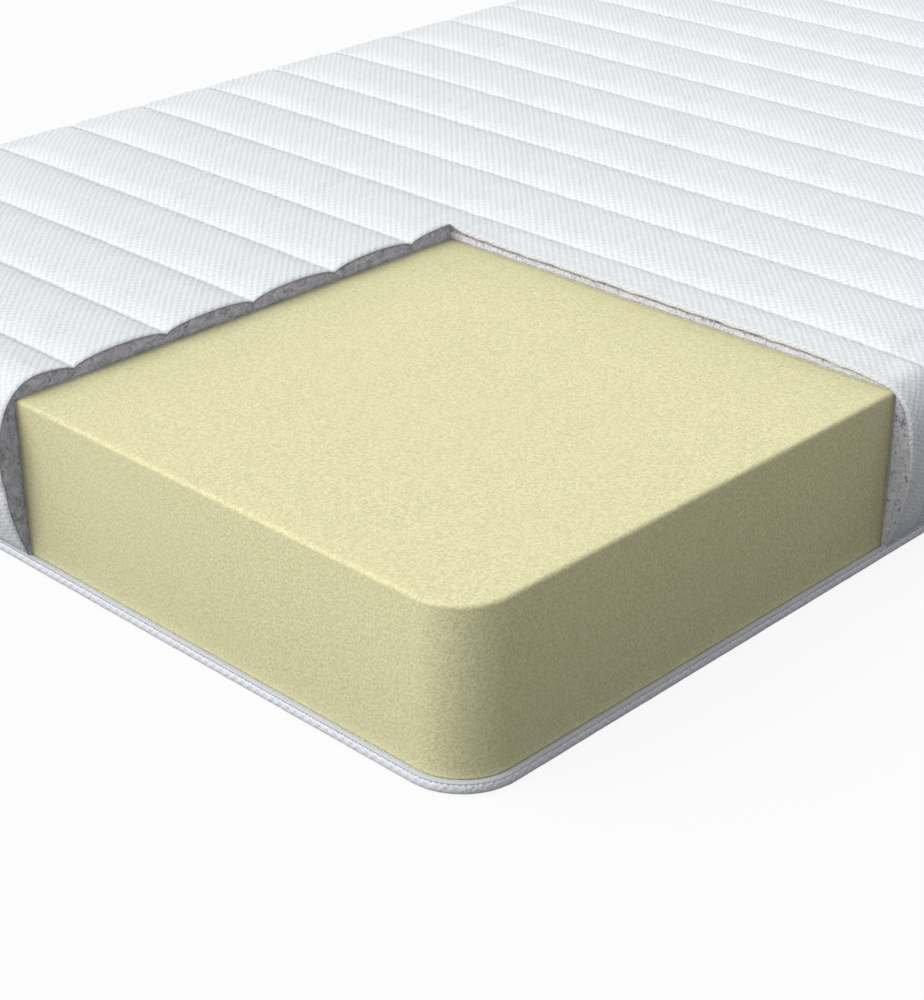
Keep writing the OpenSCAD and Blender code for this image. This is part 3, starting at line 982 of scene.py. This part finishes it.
def cut_shade(g):
    """Painted shade on the foam beside the cut edges of the cover, most right beside them."""
    x, y, _ = g.axes()
    clear = 1.0
    for far in (g.minus(x, CUT_X), g.minus(CUT_Y, y)):
        close = g.ramp(far, 0.0, 6 * MM, 0.26, 0.0)
        near = g.ramp(far, 0.0, 24 * MM, 0.17, 0.0)
        wide = g.ramp(far, 0.0, 95 * MM, 0.12, 0.0)
        clear = g.times(clear, g.minus(1.0, g.plus(close, g.plus(near, wide))))
    return g.minus(1.0, clear)


def line_shade(g):
    """Painted shade, darkest in the bottom of each quilting line and 0 elsewhere, for a fabric laid on the
    bed.
    """
    _, y, _ = g.axes()
    inside = g.math("LESS_THAN", g.math("ABSOLUTE", y), FOAM_Y - SHOULDER_IN)
    channel = g.math("DIVIDE", g.minus(y, LINE_0), PITCH)
    near = g.math("ABSOLUTE", g.minus(channel, g.math("ROUND", channel)))
    return g.times(inside, g.ramp(near, 0.0, 2.2 * MM / PITCH, 1.0, 0.0))


def lip_shade(g):
    """Painted shade: 1 right beside the cut across the bed, where the photo shows the fabric greyer, and 0
    elsewhere.
    """
    x, y, _ = g.axes()
    beside = g.math("GREATER_THAN", x, CUT_X + 2 * MM)
    return g.times(beside, g.ramp(g.minus(y, CUT_Y), 0.0, 12 * MM, 1.0, 0.0))


def knit_material(name, low, high, sewn):
    """Double-knit cover fabric: small raised dots in rows along both diagonals, and painted shade where it
    is quilted.

    sewn is how strong the painted shade in the quilting lines is, and is 0 where the fabric isn't quilted,
    which leaves out the painted shade beside the cut too.
    """
    g = Graph(name, 0.85, 0.25)
    g.shader.inputs["Sheen Weight"].default_value = 0.22
    g.shader.inputs["Sheen Roughness"].default_value = 0.5
    u, v = g.cloth()
    u = g.plus(u, g.times(g.noise(55, 2), 0.0022))
    uneven = g.ramp(g.noise(130, 2), 0.3, 0.7, 0.6, 1.2)
    ribs = g.times(g.wave(u, v, DOTS, DOTS), 0.36)
    ticks = g.times(g.wave(u, v, 1.5 * DOTS, -1.5 * DOTS), g.wave(u, v, DOTS / 2, DOTS / 2))
    cross = g.plus(g.times(g.wave(u, v, DOTS, -DOTS), 0.2), g.times(ticks, 0.5))
    loops = g.times(g.wave(u, v, LOOPS, 0), g.wave(u, v, 0, LOOPS))
    height = g.plus(g.times(g.plus(ribs, cross), uneven), g.times(loops, 0.15))
    height = g.plus(height, g.times(g.noise(560, 3), 1.5))
    tint = g.mix(g.ramp(height, 0.0, 1.6), low, high)
    if sewn:
        # painted shade: the fabric darkened in the bottom of each quilting line
        tint = g.mix(g.times(line_shade(g), sewn), tint, (0.36, 0.38, 0.39))
        # painted shade: the fabric darkened right beside the cut across the bed
        tint = g.mix(g.times(lip_shade(g), 0.32), tint, (0.50, 0.52, 0.56))
    return g.finish(tint, height, 0.00026, 0.9)


def shaded_edge_material():
    """The knit's raw cut edge, painted dark grey for the shade that lies under the knit's edge."""
    g = Graph("knit_edge_painted_shade", 0.95, 0.1)
    fuzz = g.noise(1500, 3)
    # painted shade: dark grey in place of the white knit's own colour
    tint = g.mix(g.ramp(fuzz, 0.35, 0.65), (0.26, 0.25, 0.33), (0.44, 0.43, 0.53))
    return g.finish(tint, fuzz, 0.0004)


def padding_material(name, base, dark, speck_and_shade, line, line_at=0.02):
    """Fibre wadding seen on a cut face, dark in its gaps, with painted shade just under the knit and where
    it meets the foam.
    """
    g = Graph(name, 1.0, 0.1)
    _, depth = g.cloth()
    tufts, fibres, gaps = g.noise(420, 4), g.noise(1200, 3), g.noise(70, 4)
    blotch = g.plus(g.times(tufts, 0.6), g.times(g.noise(150, 2), 0.4))
    tint = g.mix(g.ramp(blotch, 0.4, 0.6), dark, base)
    tint = g.mix(g.ramp(fibres, 0.3, 0.7, 0.0, 0.3), tint, [c * 0.72 for c in base])
    tint = g.mix(g.ramp(gaps, 0.5, 0.68, 0.0, 0.6), tint, dark)
    patch = g.ramp(gaps, 0.44, 0.6, 0.0, 0.9)
    tint = g.mix(g.times(g.ramp(g.noise(380, 2), 0.6, 0.7), patch), tint, speck_and_shade)
    wander = g.plus(depth, g.times(g.minus(gaps, 0.5), 0.12))
    # painted shade: a dark line just under the knit, strongest where the cut face lies near the top of the
    # foam
    lying = g.ramp(g.axes()[2], 0.8 * FOAM_Z1, FOAM_Z1, 0.2 * line, line)
    under = g.times(g.ramp(wander, line_at, line_at + 0.18, 1.0, 0.0), lying)
    tint = g.mix(g.times(under, g.ramp(tufts, 0.3, 0.6, 1.0, 0.6)), tint, speck_and_shade)
    streak = g.times(g.ramp(g.noise(95, 4), 0.5, 0.62), g.ramp(depth, 0.3, 0.85, 1.0, 0.25))
    tint = g.mix(g.times(streak, g.ramp(tufts, 0.35, 0.6, line, 0.1)), tint, speck_and_shade)
    # painted shade where the wadding meets the foam
    contact = g.ramp(depth, 0.86, 1.0, 0.0, max(0, line - 0.7))
    tint = g.mix(contact, tint, speck_and_shade)
    height = g.plus(tufts, g.times(fibres, 0.5))
    return g.finish(tint, height, 0.0012)


def lining_material():
    """Non-woven lining, bonded in small dots."""
    g = Graph("lining", 0.9, 0.2)
    dots, fibres = g.cells(420), g.noise(1100, 3)
    tint = g.mix(g.ramp(fibres, 0.35, 0.65), (0.72, 0.72, 0.70), (0.86, 0.86, 0.84))
    return g.finish(tint, g.minus(fibres, g.times(dots, 0.6)), 0.0002)


def woven_material(name, light, dark, ribs, picks):
    """Narrow woven tape: ribs along it and picks across it, as cycles per metre."""
    g = Graph(name, 0.8, 0.3)
    u, v = g.cloth()
    weave = g.times(g.wave(u, v, picks, 0), g.wave(u, v, 0, ribs))
    height = g.plus(weave, g.times(g.noise(1300, 2), 0.6))
    tint = g.mix(g.ramp(height, -0.5, 0.9), dark, light)
    return g.finish(tint, height, 0.00015)


def thread_material(name, low, high):
    """Twisted polyester sewing thread."""
    g = Graph(name, 0.6, 0.4)
    twist = g.noise(2600, 1)
    return g.finish(g.mix(g.ramp(twist, 0.3, 0.7), low, high), twist, 0.0001)


def coil_material():
    """White nylon, slightly glossy."""
    g = Graph("zip_coil", 0.38, 0.5)
    wear = g.noise(90, 3)
    tint = g.mix(g.ramp(wear, 0.3, 0.7), (0.80, 0.81, 0.82), (0.88, 0.89, 0.90))
    return g.finish(tint, g.noise(900, 2), 0.00005, roughness=g.ramp(wear, 0.3, 0.7, 0.3, 0.5))


def metal_material():
    """Nickel-plated die casting, with fine scratches and duller patches."""
    g = Graph("zip_metal", 0.3, 0.5, Metallic=1.0)
    patches = g.noise(240, 4)
    scratches = g.noise(700, 4, stretch=(1, 0.06, 1))
    tint = g.mix(g.ramp(patches, 0.3, 0.7), (0.70, 0.69, 0.67), (0.84, 0.835, 0.82))
    return g.finish(tint, scratches, 0.00004, 0.6, g.ramp(patches, 0.3, 0.7, 0.22, 0.42))


# ---- The studio ----

def shader(tree, kind, colour):
    """A one-coloured shader of some kind, as its output."""
    node = tree.nodes.new("ShaderNode" + kind)
    node.inputs["Color"].default_value = (*colour, 1)
    return node.outputs[0]


def finish_tree(tree, kind, lit, shown):
    """Gives a floor or sky one shader for the light that it sends, and another to be seen."""
    pick = tree.nodes.new("ShaderNodeMixShader")
    seen = tree.nodes.new("ShaderNodeLightPath").outputs["Is Camera Ray"]
    for socket, value in zip(pick.inputs, (seen, lit, shown)):
        tree.links.new(value, socket)
    out = tree.nodes.new("ShaderNodeOutput" + kind)
    tree.links.new(pick.outputs[0], out.inputs[0])


def make_floor():
    """A pale floor. The camera sees it almost white, and it gives little light back."""
    mesh = bpy.data.meshes.new("floor")
    corners = [(-1, -1), (1, -1), (1, 1), (-1, 1)]
    mesh.from_pydata([(x * FLOOR_HALF, y * FLOOR_HALF, FLOOR_Z) for x, y in corners], [], [(0, 1, 2, 3)])
    floor = bpy.data.objects.new("floor", mesh)
    bpy.context.scene.collection.objects.link(floor)
    material = bpy.data.materials.new("floor")
    material.use_nodes = True
    tree = material.node_tree
    tree.nodes.clear()
    both = tree.nodes.new("ShaderNodeAddShader")
    tree.links.new(shader(tree, "Emission", FLOOR_GLOW), both.inputs[0])
    tree.links.new(shader(tree, "BsdfDiffuse", FLOOR_MATT), both.inputs[1])
    finish_tree(tree, "Material", shader(tree, "BsdfDiffuse", FLOOR_DIM), both.outputs[0])
    mesh.materials.append(material)


def make_light():
    """One large soft light from the foot of the bed, and an even pale sky."""
    world = bpy.data.worlds.new("studio")
    bpy.context.scene.world = world
    world.use_nodes = True
    tree = world.node_tree
    tree.nodes.clear()
    finish_tree(tree, "World", shader(tree, "Background", SKY), shader(tree, "Background", (1, 1, 1)))
    lamp = bpy.data.lights.new("key", "SUN")
    lamp.energy = KEY * math.pi
    lamp.angle = math.radians(KEY_SOFT)
    key = bpy.data.objects.new("key", lamp)
    turn, rise = math.radians(KEY_TURN), math.radians(KEY_RISE)
    towards = Vector((
        -math.sin(turn) * math.cos(rise), -math.cos(turn) * math.cos(rise), math.sin(rise)
    ))
    key.rotation_mode = "QUATERNION"
    key.rotation_quaternion = towards.to_track_quat("Z", "Y")
    bpy.context.scene.collection.objects.link(key)


def make_camera():
    """Looks at the cut-away corner from above. Its place is given in foam thicknesses from there."""
    thick = FOAM_Z1 - FOAM_Z0
    corner = Vector((FOAM_X, -FOAM_Y, FOAM_Z0))
    yaw, dip, roll = (math.radians(a) for a in (CAMERA_YAW, CAMERA_DIP, CAMERA_ROLL))
    ahead = Vector((math.sin(yaw) * math.cos(dip), math.cos(yaw) * math.cos(dip), -math.sin(dip)))
    level = Vector((math.cos(yaw), -math.sin(yaw), 0))
    above = level.cross(ahead)
    right = level * math.cos(roll) + above * math.sin(roll)
    upward = above * math.cos(roll) - level * math.sin(roll)
    data = bpy.data.cameras.new("camera")
    data.lens, data.sensor_width = CAMERA_LENS, 36.0
    camera = bpy.data.objects.new("camera", data)
    turn = Matrix((right, upward, -ahead)).transposed().to_4x4()
    camera.matrix_world = Matrix.Translation(corner + thick * Vector(CAMERA_AT)) @ turn
    bpy.context.scene.collection.objects.link(camera)
    bpy.context.scene.camera = camera


# ---- The pieces ----

def hand_in(piece, slot, *nodes, body="mattress"):
    """Ties a piece to its body and hides the CAD nodes it stands for. slot is not used."""
    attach(piece, body)
    if nodes:
        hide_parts(*nodes)
    return piece


def make_foam():
    """The bare block of foam."""
    rounded = edged_profile(0, FOAM_Z0, FOAM_Z1, 2 * MM, FOAM_EDGE)
    foam = block("foam_block", [foam_material()], rounded, 25 * MM, (FOAM_Z0, FOAM_Z1))
    hand_in(foam, "foam", "foam_core")


def make_cover(knit):
    """The quilted cover's three layers: knit, wadding and lining."""
    cover = cloth_cover("quilted_cover", [knit, shaded_edge_material()])
    settle(cover, cover_holds(cover))
    hand_in(cover, "knit", "cover_knit")

    # painted light and shade: the cut face in shade gets the grey copy of the wadding, the cut face turned
    # to the light the pale copy
    across = padding_material("padding_grey_painted_shade", *GREY, 0.4)
    along = padding_material("padding_pale_painted_light", *PALE, 0.9, 0.40)
    padding = cover_layer("cover_padding", [across, along], KNIT_T, BACKING_T, 14 * MM, 8, 8, 0.25 * MM)
    hand_in(padding, "wadding", "cover_wadding")

    lining = cover_layer("cover_lining", [lining_material()] * 2, None, 0.05 * MM, 30 * MM, 4, 1, 0)
    hand_in(lining, "backing", "cover_backing")


def make_base(knit):
    """The bottom panel's three layers: knit, wadding and lining."""
    panel = block(
        "base_fabric", [knit], panel_profile, 9 * MM, (0, 0), GAP_ROWS, lid=False, wave=0.18 * MM
    )
    hand_in(panel, "knit", "bottom_knit")

    def pad_profile(values, side):
        """Inside the panel's fabric all the way up, and set back with it along the zip."""
        out, high = panel_profile(values, side)
        high = np.maximum(high, KNIT_T)
        high[:, out.shape[1] // 2:] -= KNIT_T
        high[:, -1] = FOAM_Z0 - BACKING_T
        return out - KNIT_T, high

    grey = padding_material("base_padding", *GREY, 0)
    pad = block("base_padding", [grey], pad_profile, 30 * MM, (KNIT_T, FOAM_Z0 - BACKING_T), GAP_ROWS)
    hand_in(pad, "wadding", "bottom_wadding")

    sheet_edge = edged_profile(0, FOAM_Z0 - BACKING_T, FOAM_Z0 - 0.02 * MM, 0.1 * MM, 0.1 * MM)
    lining = block(
        "base_lining", [lining_material()], sheet_edge, 40 * MM, (FOAM_Z0 - BACKING_T, FOAM_Z0 - 0.02 * MM)
    )
    hand_in(lining, "backing", "bottom_backing")


def make_seam(thread):
    """The tape on the rim's ledge, and the stitches along its outer edge."""
    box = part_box("seam_tape")
    reach, low, high = (box[1][0] - FOAM_X) / MM, box[0][2] / MM, box[1][2] / MM
    profile = [
        (0.2, low + 0.02), (reach - 0.2, low), (reach, low + 0.2), (reach, high - 0.2),
        (reach - 0.2, high), (0.2, high), (0, high - 0.15), (0, low + 0.15),
    ]
    grey = woven_material("seam_tape", (0.75, 0.775, 0.83), (0.57, 0.595, 0.65), 1100, 700)
    tape = ribbon("seam_ribbon", [grey], np.array(profile) * MM, 4 * MM, 0.02)
    hand_in(tape, "seam_tape", "seam_tape")

    feet, outs, _ = rim_walk(SEAM_STITCH)
    middle = (feet[1:] + feet[:-1]) / 2
    normal = outs[1:] + outs[:-1]
    normal /= np.linalg.norm(normal, axis=1)[:, None]
    flat = np.zeros((len(middle), 1))
    centres = np.hstack([middle + normal * (RIM_OUT - 0.35 * MM), flat + FOAM_Z0 + 0.25 * MM])
    ways = np.hstack([np.stack([normal[:, 1], -normal[:, 0]], 1), flat])
    ups = np.hstack([normal * 0.6, flat + 0.8])
    sewn = stitches("seam_stitches", [thread], centres, ways, ups, SEAM_STITCH * 0.78, THREAD_D)
    hand_in(sewn, "thread", "seam_thread")


def line_route(k):
    """Points and outward directions along quilting line k, up one side, over and down the other."""
    y = y_of(k)
    half = FOAM_X - SHOULDER_IN
    if abs(y) > FOAM_Y - FOAM_R:
        half = FOAM_X - FOAM_R
    cols = between(-half, half, 10 * MM)
    rows = np.full(len(cols), y)
    top = np.stack([cols, rows, quilt_top(cols, rows, 0, True)], 1)
    if half < FOAM_X - SHOULDER_IN:
        return top
    walls = []
    for side in ("left", "right"):
        stations, out, high = wall_form(side, rows[:1], top[:1, 2], 0, True)
        walls.append(wall_points(side, stations, out, high)[0])
    return np.concatenate([walls[0][::-1], top[1:-1], walls[1]])


def make_quilting(thread):
    """The stitches along every quilting line, which stop at the cut-away corner."""
    centres, ways, ups = [], [], []
    for k in range(LINES):
        route = line_route(k)
        lengths = arc_length(route)
        at = np.arange(LINE_STITCH, lengths[-1] - LINE_STITCH, LINE_STITCH)
        point = np.stack([np.interp(at, lengths, route[:, i]) for i in range(3)], 1)
        ahead = np.stack([np.interp(at + MM, lengths, route[:, i]) for i in range(3)], 1)
        way = ahead - point
        way /= np.linalg.norm(way, axis=1)[:, None]
        up = np.cross(way, [0, 1.0, 0])
        up *= np.where((up[:, 2] < 0) & (np.abs(way[:, 2]) < 0.9), -1, 1)[:, None]
        outside = np.sign(point[:, 0]) * up[:, 0] + up[:, 2]
        up *= np.where(outside < 0, -1, 1)[:, None]
        keep = ~((point[:, 0] > CUT_X - 3 * MM) & (y_of(k) < CUT_Y + 3 * MM))
        centres.append((point + up * THREAD_D * 0.3)[keep])
        ways.append(way[keep])
        ups.append(up[keep])
    sewn = stitches(
        "quilting_stitches", [thread], np.concatenate(centres), np.concatenate(ways),
        np.concatenate(ups), LINE_STITCH * 0.74, THREAD_D,
    )
    hand_in(sewn, "thread", "quilting_thread")


def make_zip():
    """The zip along the far long side: two tapes, two coils, and its metal pieces from the frame."""
    tape = woven_material("zip_tape", (0.86, 0.87, 0.88), (0.70, 0.71, 0.73), 1300, 900)
    out = -FOAM_X - (coil_low[0] + coil_high[0]) / 2
    thick = coil_high[0] - coil_low[0]
    tape_thick = lower_high[0] - lower_low[0]
    meet = (lower_high[2] + upper_low[2]) / 2
    chain = (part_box("zip_end_box")[0][1] - MM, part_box("zip_top_stop")[1][1] + MM)
    above = (upper_low[2] - 0.3 * MM, meet + 0.03 * MM), (upper_high[2] - 0.05 * MM,) * 2
    below = (lower_low[2] + 0.05 * MM,) * 2, (lower_high[2] + 0.3 * MM, meet - 0.03 * MM)
    for name, node, (low, high) in (
        ("zip_tape_above", "zip_upper_tape", above), ("zip_tape_below", "zip_lower_tape", below),
    ):
        piece = strip(name, [tape], GAP_END - 0.3 * MM, low, high, out, tape_thick, 8 * MM, chain)
        hand_in(piece, "zip_tape", node)
    nylon = coil_material()
    end = coil_high[1]
    wide = coil_high[2] - coil_low[2]
    for name, node, centre, phase in (
        ("zip_chain_above", "zip_upper_coil", (top_coil_low[2] + top_coil_high[2]) / 2, math.pi),
        ("zip_chain_below", "zip_lower_coil", (coil_low[2] + coil_high[2]) / 2, 0.0),
    ):
        piece = coil(name, [nylon], end, centre, out, wide, thick, COIL_PITCH, COIL_WIRE, phase)
        hand_in(piece, "zip_coil", node)
    metal = metal_material()
    for node in ("zip_top_stop", "zip_end_box", "zip_slider", "zip_pull_tab"):
        part = bpy.data.objects[node]
        part.data.materials.clear()
        part.data.materials.append(metal)
        bevel = part.modifiers.new("edges", "BEVEL")
        bevel.width, bevel.segments, bevel.limit_method = 0.16 * MM, 2, "ANGLE"
        bevel.angle_limit = math.radians(35)


# ---- The scene ----

bpy.context.scene.view_settings.view_transform = "Standard"
make_camera()
make_light()
make_floor()
knit_fabric = knit_material("knit", (0.72, 0.755, 0.775), (0.905, 0.925, 0.94), 0.5)
# painted light: the bottom panel's knit is a lighter, bluer copy of the cover's knit, its extra lightness
# standing in for light bounced up from the floor
base_fabric = knit_material("knit_base_painted_lighter", (0.795, 0.80, 0.865), (0.96, 0.965, 1.0), 0)
white_thread = thread_material("thread", (0.80, 0.82, 0.84), (0.93, 0.94, 0.95))
grey_thread = thread_material("thread_grey", (0.40, 0.43, 0.50), (0.52, 0.55, 0.62))
make_foam()
make_cover(knit_fabric)
make_base(base_fabric)
make_seam(grey_thread)
make_quilting(white_thread)
make_zip()
